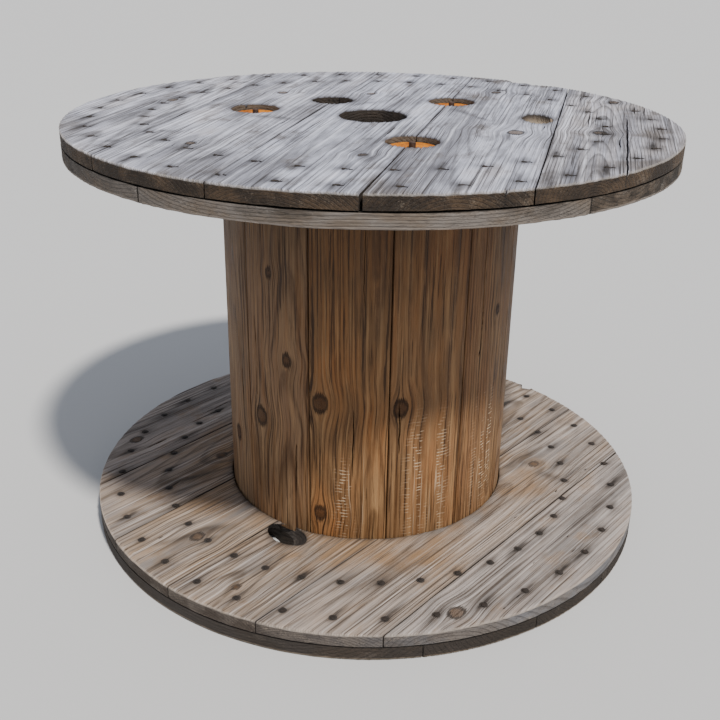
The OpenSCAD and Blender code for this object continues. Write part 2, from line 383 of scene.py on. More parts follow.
# What single boards show: knots (u, v, radius), long cracks (from u, to u, v, half width),
# dark smears (from u, v, to u, v, half width)
boardFeatures = {
    "top_outer_board_1": {
        "knots": [(-20, -262, 7), (190, -275, 6)], "cracks": [(-250, 95, -292, 1.2)],
        "smears": [(-300, -225, -215, -222, 7)],
        "pith": (-262, -30), "spacing": 3.0, "tone": 0.8, "rimDark": 0.9,
    },
    "top_outer_board_2": {
        "knots": [(-48, -172, 9), (215, -120, 6)], "cracks": [(-335, -290, -188, 0.7)],
        "smears": [(73, -84, 38, -112, 6), (38, -112, 9, -138, 4), (-60, -165, -90, -168, 5)],
        "pith": (-150, -38), "spacing": 4.6, "tone": 0.1, "rimDark": 0.5,
    },
    "top_outer_board_3": {
        "knots": [(-205, -38, 5), (150, 38, 5)], "cracks": [(-330, -255, 22, 0.6)],
        "smears": [(-192, -30, -222, -50, 9), (-129, -30, -131, -18, 4), (60, 40, 90, 20, 5)],
        "pith": (10, -70), "spacing": 3.8, "tone": 0.0,
    },
    "top_outer_board_4": {
        "knots": [(-208, 142, 5), (120, 150, 6)], "cracks": [(-285, -205, 156, 0.9), (-230, -175, 172, 0.8)],
        "smears": [(-44, 138, -52, 72, 9), (-158, 205, -156, 180, 6), (-240, 68, -225, 62, 5),
                   (-300, 120, -250, 100, 9)],
        "pith": (150, -60), "spacing": 4.2, "tone": 0.25,
    },
    "top_outer_board_5": {
        "knots": [(20, 262, 6)], "cracks": [(-120, -40, 232, 0.6)],
        "smears": [(-229, 232, -216, 215, 7), (178, 246, 188, 218, 6), (-140, 260, -60, 266, 9)],
        "pith": (260, -90), "spacing": 4.0, "tone": 0.35,
    },
    "top_inner_board_2": {"rimDark": 0.9},
    "top_inner_board_3": {"rimDark": 0.7},
    "top_inner_board_4": {"rimDark": 0.5},
    "bottom_inner_board_1": {
        "knots": [(-177, -280, 8)], "cracks": [(-90, 40, -318, 0.7)], "smears": [(60, -290, 150, -292, 9)],
        "pith": (-285, -30), "spacing": 5.0, "tone": 0.1,
    },
    "bottom_inner_board_2": {
        "knots": [(150, -175, 6)], "cracks": [(-300, -240, -150, 0.6)],
        "smears": [(136, -190, 140, -224, 8), (100, -150, 190, -160, 10)], "pith": (-180, -80), "tone": 0.45,
    },
    "bottom_inner_board_3": {
        "knots": [(-305, -70, 4)], "cracks": [(-330, -270, -40, 0.6)], "smears": [(-290, -60, -230, -66, 8)],
        "pith": (-60, -90), "tone": 0.85,
    },
    "bottom_inner_board_4": {
        "knots": [(-270, 36, 7), (250, 60, 6)], "cracks": [(-340, -300, 66, 0.7)],
        "smears": [(-318, 60, -262, 40, 6), (-262, 44, -226, 22, 8)], "pith": (40, -50), "tone": 1.0,
    },
    "bottom_inner_board_5": {
        "knots": [(-120, 160, 6)], "cracks": [(-260, -190, 150, 0.7)], "smears": [(-220, 150, -150, 142, 10)],
        "pith": (165, -80), "tone": 0.8,
    },
}
rodSpots = {"radius": 146.0, "firstDeg": 46.7, "recess": 29.0}
driverSpot = {"radius": 114.0, "turnDeg": 117.0, "hole": 26.0}
# A cable hole: where it turns to and which way it leans
cableHoles = {"radius": 17.5, "out": 193.7, "leanDeg": 52.0, "top": (0.0, -1), "base": (-131.0, 1)}
nailStain = {"tail": (9, 26), "tailWide": 4.8, "headWide": 5.4, "haloWide": 11, "reach": 15}
holeDark = {"seam": 0.85, "driver": 0.6, "spindle": 0.8, "recess": 0.5, "top": 0.0, "base": 0.42}
grime = {"rim": (270, 352), "barrelFoot": (330, 190), "patch": 75, "fleck": 22}


def nailSpots():
    turn = np.radians(nailRings["firstDeg"] + np.arange(nailRings["count"]) * 360 / nailRings["count"])
    return np.vstack([np.column_stack([r * np.cos(turn), r * np.sin(turn)]) for r in nailRings["radii"]])


def woodFor(node, seed, vMiddle, checks, vSpan):
    rng = np.random.default_rng(seed)
    wood = {
        "seed": seed, "spacing": rng.uniform(3.6, 5.4), "bend": rng.uniform(4, 9),
        "rise": rng.uniform(-0.06, 0.06),
        "pith": (vMiddle + rng.uniform(-0.5, 0.5) * vSpan, -rng.uniform(25, 90)), "checks": checks,
        "knots": [(rng.uniform(-250, 250), vMiddle + rng.uniform(-0.3, 0.3) * vSpan, rng.uniform(4, 8))],
        "cracks": [], "smears": [], "tone": rng.uniform(0, 1), "rimDark": 0.0,
    }
    wood.update(boardFeatures.get(node, {}))
    return wood


def inCableHole(points, flange):
    # on the wall of the leaning cable hole
    turn, side = cableHoles[flange]
    turn, lean = math.radians(turn), math.radians(cableHoles["leanDeg"])
    outer = drum["height"] if flange == "top" else 0.0
    depth = np.abs(points[:, 2] - outer)
    out = points[:, 0] * math.cos(turn) + points[:, 1] * math.sin(turn) - cableHoles["out"]
    along = points[:, 1] * math.cos(turn) - points[:, 0] * math.sin(turn)
    offAxis = np.hypot(out, (along - side * depth * math.tan(lean)) * math.cos(lean))
    return np.abs(offAxis - cableHoles["radius"]) < 0.4


def stainAt(u, v, wood, nails, halo):
    stain = np.zeros_like(u)
    rng = np.random.default_rng(wood["seed"] + 100)
    ragged = 1 + 0.35 * softNoise(u / 9, v / 3, 0.5, wood["seed"] + 61)
    for nu, nv in nails:
        strength, tail, skew = rng.uniform(0.35, 1.15), rng.uniform(*nailStain["tail"]), rng.uniform(0.4, 1.8)
        if nv < v.min() - nailStain["reach"] or nv > v.max() + nailStain["reach"]:
            continue
        along = (u - nu) / (tail * np.where(u < nu, skew, 2.2 - skew))
        reach = np.hypot(u - nu, v - nv) * (1.15 - 0.35 * ragged)
        across = (v - nv) / nailStain["tailWide"]
        tail = strength * np.exp(-(along ** 2) - across ** 2) * ragged
        head = 0.95 * np.exp(-((reach / nailStain["headWide"]) ** 2))
        ringed = halo * (0.3 + 0.4 * strength) * np.exp(-((reach / nailStain["haloWide"]) ** 2))
        stain = np.maximum.reduce([stain, tail, head, ringed])
    for u0, v0, u1, v1, half in wood["smears"]:
        run = np.array([u1 - u0, v1 - v0])
        t = np.clip(((u - u0) * run[0] + (v - v0) * run[1]) / (run ** 2).sum(), 0, 1)
        away = np.hypot(u - u0 - t * run[0], v - v0 - t * run[1])
        away = away * (1 + 0.6 * softNoise(u / 16, v / 7, 0.5, wood["seed"] + 60))
        broken = 0.75 + 0.25 * softNoise(u / 11, v / 5, 0.5, wood["seed"] + 62)
        fade = (0.5 + 0.5 * np.sin(math.pi * t)) * broken
        stain = np.maximum(stain, 0.8 * fade * np.exp(-((away / half) ** 2)))
    return stain


def nearRecess(points):
    turns = np.radians(rodSpots["firstDeg"] + 120 * np.arange(3))
    x = points[:, 0, None] - rodSpots["radius"] * np.cos(turns)
    y = points[:, 1, None] - rodSpots["radius"] * np.sin(turns)
    return np.hypot(x, y).min(1) < rodSpots["recess"] + 1


def dirtAt(x, y, amounts, seed):
    # grime gathers towards the rim of a top face and in patches over it, and warm wood shows near the barrel
    reach = np.hypot(x, y)
    patch, fleck = grime["patch"], grime["fleck"]
    cloud = 0.5 + 0.5 * softNoise(x / patch, y / patch, 0.5, seed)
    cloud = cloud + 0.3 * softNoise(x / fleck, y / fleck, 0.5, seed + 1)
    atRim = smooth(*grime["rim"], reach) * (0.15 + 0.7 * cloud)
    outer = amounts[0] * (atRim + 0.75 * smooth(0.68, 1.1, cloud))
    inner = amounts[1] * smooth(*grime["barrelFoot"], reach) * (0.25 + 0.9 * cloud)
    return np.clip(outer + inner, 0, 1)


def holeStain(points, flange):
    # how dark the walls of the holes and seams are
    x, y = points[:, 0], points[:, 1]
    dark = np.full(len(points), holeDark["seam"])
    driver = math.radians(driverSpot["turnDeg"])
    away = np.hypot(x - driverSpot["radius"] * math.cos(driver), y - driverSpot["radius"] * math.sin(driver))
    dark[np.abs(away - driverSpot["hole"]) < 1] = holeDark["driver"]
    dark[np.hypot(x, y) < drum["spindle"] + 2] = holeDark["spindle"]
    dark[nearRecess(points)] = holeDark["recess"]
    dark[inCableHole(points, flange)] = holeDark[flange]
    return dark


def rimPatch(points, where, radius):
    turns = np.sort(np.arctan2(points[where, 1], points[where, 0]))
    gaps = np.diff(np.append(turns, turns[0] + 2 * math.pi))
    widest = gaps.argmax()
    cut = turns[widest] + gaps[widest] / 2

    def flatten(p):
        turn = np.mod(np.arctan2(p[:, 1], p[:, 0]) - cut, 2 * math.pi)
        return np.column_stack([turn * radius, p[:, 2]])

    def lift(s):
        turn = s[:, 0] / radius + cut
        return np.column_stack([radius * np.cos(turn), radius * np.sin(turn), s[:, 1]])

    return {"flatten": flatten, "lift": lift, "grid": (2.8, 1.5), "rows": [], "cracks": [], "flip": False,
            "rounding": (1.0,), "kinds": lambda mid: np.zeros(len(mid), int)}


def wallPolygons(triangles, chains):
    polygons = []
    for a, b, c in triangles:
        loop = []
        for p, q in ((a, b), (b, c), (c, a)):
            loop += [p, *chains.get((p, q), [])]
        polygons.append(loop)
    return polygons


# A board's edges are of kind 0 at the rim, 1 at a seam, 2 at a hole and 3 at a nail
edgeKinds = {"nailWithin": 13, "seamWithin": 4, "rimWithin": 0.6}
boardWear = {"rows": (0.35, 0.9, 1.7, 2.8), "crackDepths": (2, 5, 9), "backRound": 0.9, "paleRecess": 0.15}


def wornBoard(node, layer, seed):
    points, triangles = readNode(node)
    up, radius = layer["outward"], drum["radius"]
    turn = math.radians(layer["direction"])
    cosT, sinT = math.cos(turn), math.sin(turn)
    faceZ = points[:, 2].max() if up > 0 else points[:, 2].min()
    backZ = points[:, 2].min() if up > 0 else points[:, 2].max()

    def boardFrame(p):
        return np.column_stack([p[:, 0] * cosT + p[:, 1] * sinT, p[:, 1] * cosT - p[:, 0] * sinT])

    def lift(s):
        x, y = s[:, 0] * cosT - s[:, 1] * sinT, s[:, 0] * sinT + s[:, 1] * cosT
        return np.column_stack([x, y, np.full(len(s), faceZ)])

    across = boardFrame(points)
    vLow, vHigh = across[:, 1].min(), across[:, 1].max()
    wood = woodFor(node, seed, (vLow + vHigh) / 2, layer["checks"], vHigh - vLow)
    nails = boardFrame(np.column_stack([nailSpots(), np.zeros(len(nailSpots()))]))

    def kinds(mid):
        place = boardFrame(mid)
        kind = np.full(len(mid), 2)
        toNail = np.linalg.norm(place[:, None, :] - nails[None], axis=2).min(1)
        kind[toNail < edgeKinds["nailWithin"]] = 3
        kind[np.minimum(place[:, 1] - vLow, vHigh - place[:, 1]) < edgeKinds["seamWithin"]] = 1
        kind[reachOf(mid) > radius - edgeKinds["rimWithin"]] = 0
        return kind

    z = points[triangles][:, :, 2]
    middle = points[triangles].mean(1)
    reach = reachOf(points)[triangles]
    upright = z.max(1) - z.min(1) > 0.01
    labels = np.zeros(len(triangles), int)
    labels[(np.abs(z - faceZ) < 0.01).all(1)] = 1
    labels[upright & (reach > radius - 0.1).all(1) & (reachOf(middle) > radius - 1)] = 2
    points, chains = splitBorders(points, triangles, labels, radius)
    face = {
        "flatten": boardFrame, "lift": lift, "grid": layer["grid"], "rows": boardWear["rows"],
        "flip": up < 0, "rounding": layer["rounding"], "kinds": kinds,
        "cracks": crackLines(wood, (across[:, 0].min() * 0.8, vLow), (across[:, 0].max() * 0.8, vHigh)),
    }
    points, faceTriangles, faceIds, away = growPatch(points, triangles[labels == 1], chains, face)
    rimIds = np.zeros(0, int)
    rimTriangles = np.zeros((0, 3), int)
    if (labels == 2).any():
        rim = rimPatch(points, np.unique(triangles[labels == 2]), radius)
        points, rimTriangles, rimIds, _ = growPatch(points, triangles[labels == 2], chains, rim)

    u, v = boardFrame(points).T
    w = up * (points[:, 2] - faceZ)
    pushed, ring, knot = grainOf(wood, u, v, w)
    onFace = np.zeros(len(points), bool)
    onFace[faceIds] = True
    onRim = np.zeros(len(points), bool)
    onRim[rimIds] = True
    scale = wearScale(points, seed)
    # the open face: rounded edges, raised grain, knots, nail pits and cracks
    drop = np.zeros(len(points))
    rounded = [roundDrop(away[:, n], layer["rounding"][n] * scale[faceIds]) for n in range(4)]
    drop[faceIds] = np.max(rounded, axis=0)
    waves = 0.5 + 0.5 * softNoise(u / 130, v / 38, 0.5, seed + 20)
    toNail = np.full(len(points), 1e3)
    for nu, nv in nails:
        toNail = np.minimum(toNail, np.hypot(u - nu, v - nv))
    relief = layer["relief"] * (1 - ridge(ring)) * (1 - 0.7 * knot) + 0.35 * waves
    relief += 0.5 * np.exp(-(toNail / 6.5) ** 2) + 0.12 * (1 + softNoise(u / 14, v / 3, 0.5, seed + 21))
    crack, depth = crackCuts(face["cracks"], u, v, boardWear["crackDepths"])
    points[onFace, 2] -= up * (drop + relief + depth)[onFace]
    # the rim: squeezed under the rounded edge, with rough end grain
    backWear = boardWear["backRound"] * wearScale(points, seed + 2)
    part = np.clip(np.abs(points[:, 2] - backZ) / drum["board"], 0, 1)
    top = layer["rounding"][0] * scale + 0.4
    inner = onRim & ~onFace
    newZ = backZ + up * (backWear + part * (drum["board"] - top - backWear))
    points[inner, 2] = newZ[inner]
    turnRim = np.arctan2(points[:, 1], points[:, 0])
    endGrain = np.abs(np.cos(turnRim - turn))
    rough = 0.35 * endGrain * (1 - ridge(ring)) + 0.2 * (1 + softNoise(turnRim * 60, w / 3, 0.5, seed + 30))
    rough += 0.9 * np.clip(softNoise(turnRim * 22, w / 9, 0.5, seed + 31) - 0.45, 0, 1)
    points[onRim, :2] *= (1 - rough / np.maximum(reachOf(points), 1))[onRim, None]

    rimEdge = np.zeros(len(points))
    rimEdge[faceIds] = np.exp(-away[:, 0] / 1.7)
    rimEdge[inner] = np.exp(-(1 - part[inner]) * drum["board"] / 1.5)
    stain = np.zeros(len(points))
    stain[faceIds] = stainAt(u[faceIds], v[faceIds], wood, nails, layer["halo"])
    stain[faceIds] = np.maximum(stain[faceIds], 0.6 * np.exp(-away[:, 1] / 1.4))
    holeGrime = 0.8 * np.exp(-away[:, 2] / (5.0 + 3.0 * softNoise(u / 12, v / 12, 0.5, seed + 44)[faceIds]))
    stain[faceIds] = np.maximum(stain[faceIds], holeGrime * (away[:, 2] < 900))
    side = np.ones(len(points))
    side[faceIds] = 0
    side[onRim & onFace] = 0.35
    isTop = faceZ > drum["height"] / 2
    flange = "top" if isTop else "base"
    # pale bare wood on the recess walls; on the top cable hole's wall it is both bare wood and painted light,
    # as that wall lies in shade
    fresh = boardWear["paleRecess"] * nearRecess(points)
    if isTop:
        fresh = fresh + inCableHole(points, flange)
    outwards = np.abs(boardFrame(points)[:, 0]) / np.maximum(reachOf(points), 1)
    rimDark = wood["rimDark"] * smooth(0, 120, points[:, 0])
    ends = np.clip(np.where(onRim, outwards ** 2 + rimDark, 0.5), 0, 1) * side
    dirt = dirtAt(points[:, 0], points[:, 1], layer["dirt"], 400 + isTop)
    tone = np.full(len(points), wood["tone"])
    walls = wallPolygons(triangles[labels == 0], chains)
    whole = np.ones(len(points))
    marks = {
        "grain": np.column_stack([(u + seed * 731) * mm, pushed * mm, w * mm]),
        "ring": ring, "marks": np.column_stack([knot, crack, stain]),
        "wear": np.column_stack([rimEdge, side, 0 * side]), "tone": np.column_stack([tone, ends, dirt]),
    }
    wallMarks = {
        "marks": np.column_stack([0 * knot, 0 * crack, holeStain(points, flange)]),
        "wear": np.column_stack([0 * side, whole, fresh]),
        "tone": np.column_stack([tone, whole * 0.6, 0 * dirt]),
    }
    number = node.rsplit("_", 1)[1]
    faces = walls + faceTriangles.tolist() + rimTriangles.tolist()
    piece = buildPiece(layer["piece"] + number, points, faces, marks, wallMarks, len(walls))
    standIn(piece, node)
    return piece


boards = {}
for start, layer in layers.items():
    seedBase = 11 + 20 * list(layers).index(start)
    for node in sorted(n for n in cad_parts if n.startswith(start)):
        boards[node] = wornBoard(node, layer, seedBase + int(node.rsplit("_", 1)[1]))
    made = sum(len(board.data.polygons) for node, board in boards.items() if node.startswith(start))
    print("boards made:", start, made, "faces")


# The barrel's staves. Knots and cracks are as for the boards, with u from the floor up, and planed
# holds the middle (u, v) and half sizes of a patch of saw marks.
staves = {
    "count": 12, "firstDeg": -82.0, "grid": (7.0, 1.3), "rows": (0.35, 0.9, 1.7, 2.6), "round": 1.9,
    "relief": 0.35, "crackDepths": (1.5, 4, 6),
    "knots": {
        1: [(207, -34, 8)], 2: [(300, 12, 4)], 5: [(240, 15, 9)], 7: [(330, -20, 8)], 10: [(120, 10, 7)],
        11: [(254, 18, 6), (169, -24, 9), (355, -6, 4)], 12: [(209, -33, 9), (62, -33, 7)],
    },
    "cracks": {
        1: [(60, 130, 10, 0.4)], 2: [(250, 420, -22, 0.5)], 11: [(80, 150, 30, 0.5)],
        12: [(330, 440, 16, 0.4)],
    },
    "planed": {1: (105, 2, 80, 25), 2: (120, 0, 75, 22), 6: (300, 0, 60, 30), 12: (92, 4, 55, 17)},
    "film": {1: 0.3, 2: 0.5, 3: 0.9, 4: 0.8, 9: 0.7, 10: 1.0, 11: 0.8, 12: 0.12},
}


def stavePiece(number):
    node = f"stave_{number}"
    points, triangles = readNode(node)
    radius = drum["barrel"]
    turn = math.radians(staves["firstDeg"] + (number - 0.5) * 360 / staves["count"])
    seed = 200 + number
    rng = np.random.default_rng(seed)

    def flatten(p):
        lean = np.arctan2(p[:, 1], p[:, 0]) - turn
        return np.column_stack([p[:, 2], np.mod(lean + math.pi, 2 * math.pi) * radius - math.pi * radius])

    def lift(s):
        lean = s[:, 1] / radius + turn
        return np.column_stack([radius * np.cos(lean), radius * np.sin(lean), s[:, 0]])

    half = radius * math.pi / staves["count"]

    def kinds(mid):
        return np.where(np.abs(flatten(mid)[:, 1]) > half - 2, 0, 1)

    wood = {
        "seed": seed, "spacing": rng.uniform(3.0, 4.6), "bend": rng.uniform(3, 7),
        "rise": rng.uniform(-0.07, 0.07), "pith": (rng.uniform(-45, 45), -rng.uniform(20, 80)),
        "knots": staves["knots"].get(number, [(330, -12, 5)]), "cracks": staves["cracks"].get(number, []),
        "checks": 1,
    }
    z = points[triangles][:, :, 2]
    middle = points[triangles].mean(1)
    outside = (reachOf(points)[triangles] > radius - 0.1).all(1) & (reachOf(middle) > radius - 1.5)
    labels = (outside & (z.max(1) - z.min(1) > 0.01)).astype(int)
    points, chains = splitBorders(points, triangles, labels, radius)
    face = {
        "flatten": flatten, "lift": lift, "grid": staves["grid"], "rows": staves["rows"], "flip": True,
        "rounding": (staves["round"], 0.01, 0.01), "kinds": kinds,
        "cracks": crackLines(wood, (60, -half), (450, half)),
    }
    points, faceTriangles, faceIds, away = growPatch(points, triangles[labels == 1], chains, face)
    u, v = points[:, 2].copy(), points[:, 1] * math.cos(turn) - points[:, 0] * math.sin(turn)
    w = points[:, 0] * math.cos(turn) + points[:, 1] * math.sin(turn) - radius
    pushed, ring, knot = grainOf(wood, u, v, w)
    scale = wearScale(points, seed)
    drop = np.zeros(len(points))
    drop[faceIds] = roundDrop(away[:, 0], staves["round"] * scale[faceIds])
    relief = staves["relief"] * (1 - ridge(ring)) * (1 - knot)
    relief = relief + 0.3 * (1 + softNoise(u / 110, v / 30, 0.5, seed + 4)) / 2
    crack, depth = crackCuts(face["cracks"], u, v, staves["crackDepths"])
    onFace = np.zeros(len(points), bool)
    onFace[faceIds] = True
    inward = (drop + relief + depth) * onFace
    points[:, :2] *= (1 - inward / reachOf(points))[:, None]
    planed = np.zeros(len(points))
    if number in staves["planed"]:
        pz, pv, tall, broad = staves["planed"][number]
        planed = np.exp(-(((u - pz) / tall) ** 4) - (((v - pv) / broad) ** 4))
    edge = np.zeros(len(points))
    edge[faceIds] = np.exp(-away[:, 0] / 1.4)
    # painted shade: the staves are darkened towards the top, where the top flange shades the barrel, and also
    # at the very foot; it is carried in the stain channel of marks
    shade = 0.2 * smooth(120, 260, u) + 0.5 * smooth(240, 460, u) + 0.25 * smooth(24, 10, u)
    shade = shade * (0.85 + 0.15 * softNoise(u / 40, v / 9, 0.5, seed + 70))
    side = np.ones(len(points))
    side[faceIds] = 0
    whole, none = np.ones(len(points)), np.zeros(len(points))
    film = whole * staves["film"].get(number, 0.5)
    marks = {
        "grain": np.column_stack([(u + seed * 731) * mm, pushed * mm, w * mm]), "ring": ring,
        "marks": np.column_stack([knot, crack, shade]), "wear": np.column_stack([edge, side, none]),
        "tone": np.column_stack([film, side * 0.5, planed]),
    }
    wallMarks = {
        "marks": np.column_stack([none, none, whole * 0.8]), "wear": np.column_stack([none, whole, none]),
        "tone": np.column_stack([film, whole * 0.5, none]),
    }
    walls = wallPolygons(triangles[labels == 0], chains)
    faces = walls + faceTriangles.tolist()
    piece = buildPiece(f"barrelStave{number}", points, faces, marks, wallMarks, len(walls))
    standIn(piece, node)
    return piece


stavePieces = [stavePiece(n) for n in range(1, staves["count"] + 1)]
print("staves made:", sum(len(p.data.polygons) for p in stavePieces), "faces")


# Finishes. Arithmetic on a wire adds Math nodes.
class Wire:
    def __init__(self, finish, socket):
        self.finish, self.socket = finish, socket

    def __add__(self, other):
        return self.finish.math("ADD", self, other)

    def __sub__(self, other):
        return self.finish.math("SUBTRACT", self, other)

    def __rsub__(self, other):
        return self.finish.math("SUBTRACT", other, self)

    def __mul__(self, other):
        return self.finish.math("MULTIPLY", self, other)

    def __truediv__(self, other):
        return self.finish.math("DIVIDE", self, other)

    def __pow__(self, other):
        return self.finish.math("POWER", self, other)

    __radd__, __rmul__ = __add__, __mul__


class Finish:
    def __init__(self, name):
        self.material = bpy.data.materials.new(name)
        self.material.use_nodes = True
        self.tree = self.material.node_tree
        self.tree.nodes.clear()

    def node(self, kind, settings=None, sockets=None, out=0):
        made = self.tree.nodes.new(kind)
        for key, value in (settings or {}).items():
            if key == "stops":
                while len(made.color_ramp.elements) < len(value):
                    made.color_ramp.elements.new(0.5)
                for stop, (place, colour) in zip(made.color_ramp.elements, value):
                    stop.position, stop.color = place, (*colour, 1)
            else:
                setattr(made, key, value)
        for key, value in (sockets or {}).items():
            if isinstance(value, Wire):
                self.tree.links.new(value.socket, made.inputs[key])
            else:
                made.inputs[key].default_value = value
        return Wire(self, made.outputs[out]) if len(made.outputs) else None

    def math(self, operation, *values):
        return self.node("ShaderNodeMath", {"operation": operation}, dict(enumerate(values)))

    def attribute(self, name, out):
        return self.node("ShaderNodeAttribute", {"attribute_name": name}, {}, out)

    def split(self, name):
        vector = self.attribute(name, "Vector")
        parts = self.node("ShaderNodeSeparateXYZ", {}, {0: vector})
        return [Wire(self, parts.socket.node.outputs[n]) for n in range(3)]

    def noise(self, place, stretch, detail=4.0, roughness=0.6, shift=0.0):
        sockets = {0: place, 1: stretch, 2: (shift,) * 3}
        at = self.node("ShaderNodeVectorMath", {"operation": "MULTIPLY_ADD"}, sockets)
        sockets = {"Vector": at, "Scale": 1.0, "Detail": detail, "Roughness": roughness}
        return self.node("ShaderNodeTexNoise", {}, sockets)

    def step(self, value, low, high):
        sockets = {"Value": value, "From Min": low, "From Max": high}
        return self.node("ShaderNodeMapRange", {"interpolation_type": "SMOOTHSTEP"}, sockets)

    def mix(self, part, one, two, blend="MIX"):
        one, two = [c if isinstance(c, Wire) else (*c, 1) for c in (one, two)]
        return self.node("ShaderNodeMix", {"data_type": "RGBA", "blend_type": blend, "clamp_factor": True},
                         {0: part, 6: one, 7: two}, 2)

    def surface(self, colour, roughness, height, strength, distance, **constants):
        bump = self.node("ShaderNodeBump", {}, {"Strength": strength, "Distance": distance, "Height": height})
        sockets = {"Base Color": colour, "Roughness": roughness, "Normal": bump, **constants}
        shader = self.node("ShaderNodeBsdfPrincipled", {}, sockets)
        self.node("ShaderNodeOutputMaterial", {}, {0: shader})
        return self.material


# Linear colours, and amounts from 0 to 1. The buried layers share their grain.
buried = {
    "lateAmount": 0.5, "brownAmount": 0.5, "filmAmount": 0.4, "dirtAmount": 0.5, "paleAmount": 0.7,
    "streakScale": (5.0, 110, 110), "streakAmount": 0.5, "cloudAmount": 0.3,
    "grooveScale": (6.0, 240, 240), "grooveTop": 0.41, "grooveAmount": 0.7,
}
woods = {
    "silveredWood": {
        "base": (0.50, 0.52, 0.62), "pale": (0.86, 0.88, 1.0), "grey": (0.21, 0.213, 0.25),
        "brown": (0.25, 0.19, 0.14), "late": (0.075, 0.068, 0.066), "line": (0.04, 0.034, 0.031),
        "film": (0.30, 0.245, 0.19), "dirt": (0.105, 0.085, 0.07), "lateAmount": 0.66, "brownAmount": 0.4,
        "filmAmount": 0.55, "dirtAmount": 0.8, "knot": (0.12, 0.08, 0.05), "stain": (0.022, 0.018, 0.016),
        "edge": (0.30, 0.27, 0.24), "side": (0.046, 0.034, 0.025), "ends": (0.027, 0.019, 0.013),
        "chip": (0.22, 0.175, 0.13), "streakScale": (2.0, 90, 90), "streakAmount": 0.2, "paleAmount": 0.42,
        "cloudAmount": 0.72, "grooveScale": (1.5, 290, 290), "grooveTop": 0.415, "grooveAmount": 0.65,
        "warm": (0.088, 0.056, 0.032), "rough": 0.78,
    },
    "rimWood": {
        **buried, "base": (0.17, 0.145, 0.12), "pale": (0.27, 0.245, 0.22), "grey": (0.10, 0.085, 0.072),
        "brown": (0.13, 0.08, 0.05), "late": (0.06, 0.042, 0.03), "line": (0.035, 0.026, 0.02),
        "film": (0.14, 0.11, 0.08), "dirt": (0.06, 0.045, 0.03), "knot": (0.07, 0.04, 0.025),
        "stain": (0.02, 0.017, 0.014), "edge": (0.25, 0.21, 0.18), "side": (0.19, 0.165, 0.145),
        "ends": (0.03, 0.023, 0.017), "chip": (0.30, 0.275, 0.25), "warm": (0.14, 0.105, 0.075),
        "rough": 0.82,
    },
    "wornWood": {
        "base": (0.37, 0.325, 0.30), "pale": (0.60, 0.55, 0.52), "grey": (0.21, 0.19, 0.18),
        "brown": (0.24, 0.135, 0.062), "late": (0.10, 0.07, 0.048), "line": (0.055, 0.04, 0.03),
        "film": (0.27, 0.18, 0.105), "dirt": (0.24, 0.14, 0.066), "lateAmount": 0.68, "brownAmount": 0.65,
        "filmAmount": 0.8, "dirtAmount": 0.85, "knot": (0.09, 0.05, 0.025), "stain": (0.022, 0.017, 0.014),
        "edge": (0.34, 0.29, 0.245), "side": (0.165, 0.16, 0.165), "ends": (0.06, 0.044, 0.033),
        "chip": (0.34, 0.28, 0.22), "streakScale": (2.0, 90, 90), "streakAmount": 0.28, "paleAmount": 0.45,
        "cloudAmount": 0.5, "grooveScale": (1.6, 280, 280), "grooveTop": 0.415, "grooveAmount": 0.68,
        "warm": (0.15, 0.125, 0.105), "rough": 0.8,
    },
    "darkWood": {
        **buried, "base": (0.15, 0.125, 0.105), "pale": (0.24, 0.215, 0.19), "grey": (0.09, 0.078, 0.07),
        "brown": (0.11, 0.07, 0.042), "late": (0.05, 0.037, 0.028), "line": (0.03, 0.023, 0.018),
        "film": (0.12, 0.09, 0.065), "dirt": (0.05, 0.038, 0.028), "knot": (0.06, 0.038, 0.025),
        "stain": (0.018, 0.015, 0.013), "edge": (0.20, 0.155, 0.11), "side": (0.05, 0.041, 0.035),
        "ends": (0.03, 0.023, 0.018), "chip": (0.11, 0.092, 0.075), "warm": (0.05, 0.037, 0.027),
        "rough": 0.85,
    },
    # the staves' stain colour also paints the shade towards the top of the barrel
    "staveWood": {
        "base": (0.305, 0.132, 0.042), "pale": (0.43, 0.25, 0.112), "grey": (0.19, 0.10, 0.042),
        "brown": (0.25, 0.082, 0.016), "late": (0.062, 0.024, 0.007), "line": (0.028, 0.012, 0.005),
        "film": (0.19, 0.138, 0.09), "dirt": (0.1, 0.05, 0.02), "lateAmount": 0.6, "brownAmount": 0.6,
        "filmAmount": 0.8, "dirtAmount": 0.0, "knot": (0.065, 0.026, 0.009), "stain": (0.022, 0.011, 0.005),
        "edge": (0.13, 0.065, 0.028), "side": (0.12, 0.06, 0.025), "ends": (0.12, 0.06, 0.025),
        "chip": (0.2, 0.11, 0.05), "streakScale": (6.0, 120, 120), "streakAmount": 0.6, "paleAmount": 0.6,
        "cloudAmount": 0.0, "grooveScale": (6.0, 240, 240), "grooveTop": 0.41, "grooveAmount": 0.8,
        "warm": (0.16, 0.07, 0.022), "rough": 0.66,
    },
}


